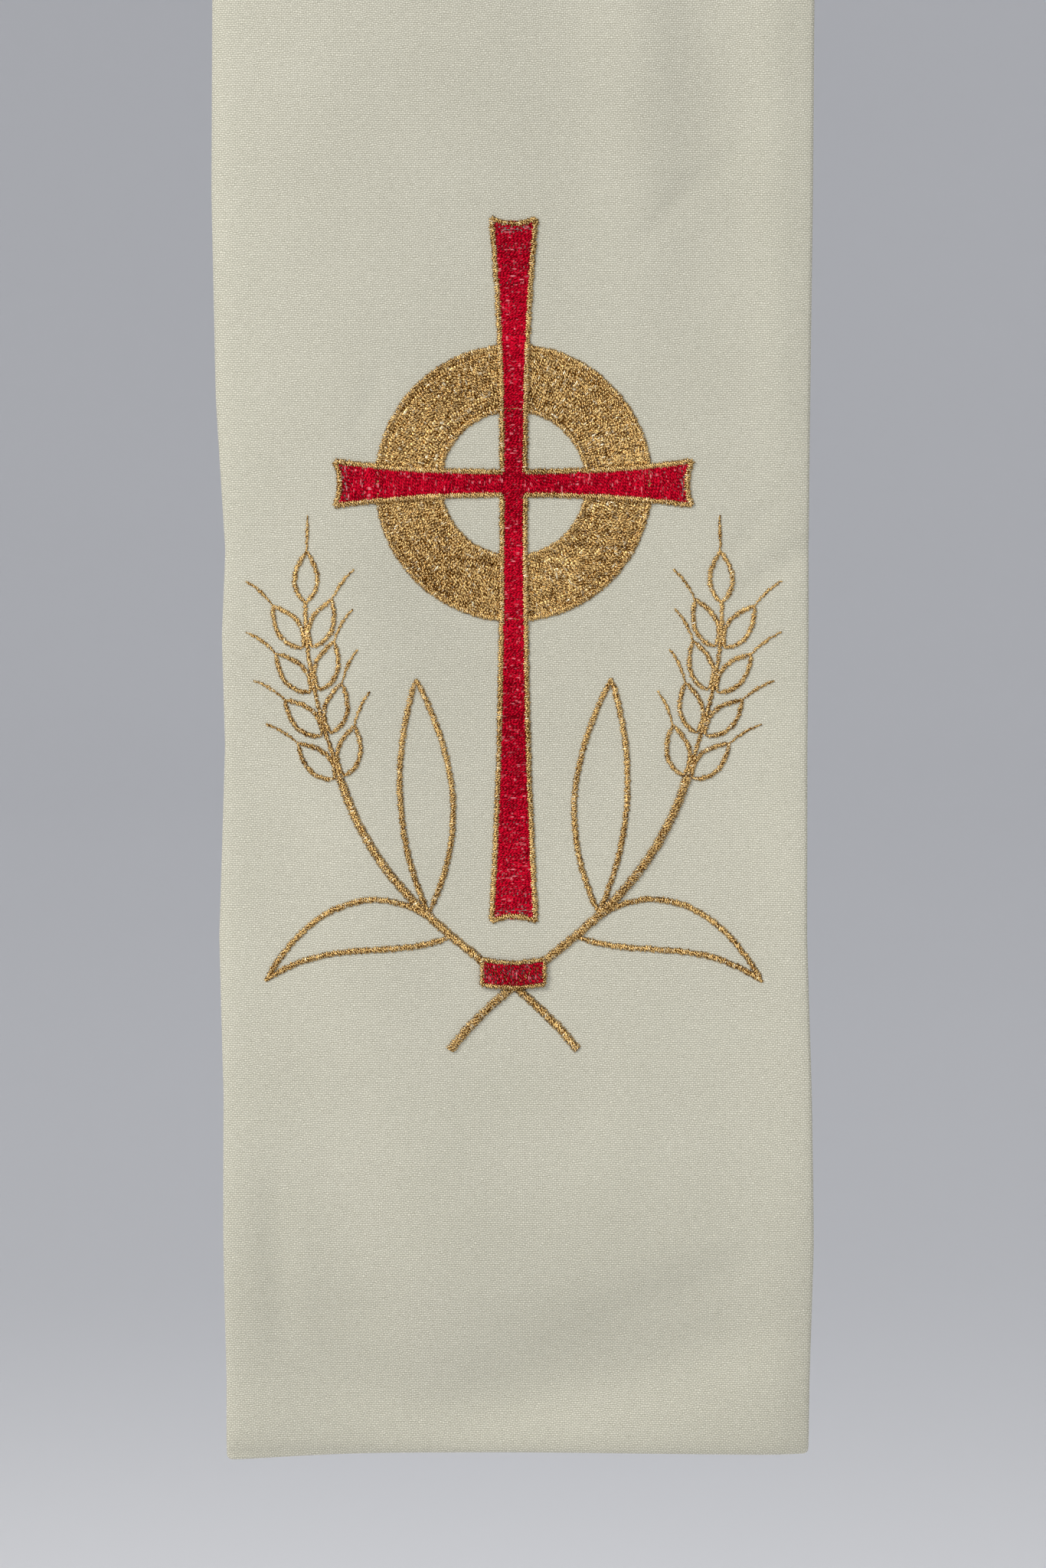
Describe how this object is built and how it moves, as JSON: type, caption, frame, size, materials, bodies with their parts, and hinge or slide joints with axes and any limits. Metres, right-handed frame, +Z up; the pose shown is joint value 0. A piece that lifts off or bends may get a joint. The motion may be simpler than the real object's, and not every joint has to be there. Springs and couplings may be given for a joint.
{
  "type": "clerical stole, worn, with no wearer",
  "caption": "Long narrow ivory vestment in its worn form: two bands joined in a mitred seam behind the neck, hanging straight down the front.",
  "frame": {"origin": "the notch at the top of the mitred back seam, on the middle of the cloth, where the stole lies against the wearer's nape", "axes": "+Z up, the wearer faces -Y, +X is the wearer's left; the bands hang down -Z and mirror each other about X = 0"},
  "size_m": [0.3978, 0.1932, 1.1383],
  "materials": {
    "ivory_cloth": "matt plain weave in ivory polyester, close and even, with a faint sheen",
    "gold_thread": "metallic gold machine embroidery thread in satin and filling stitches",
    "red_thread": "glossy crimson rayon machine embroidery thread in filling stitches"
  },
  "bodies": {
    "root": {"left_band": "ivory_cloth", "right_band": "ivory_cloth"}
  },
  "joints": []
}
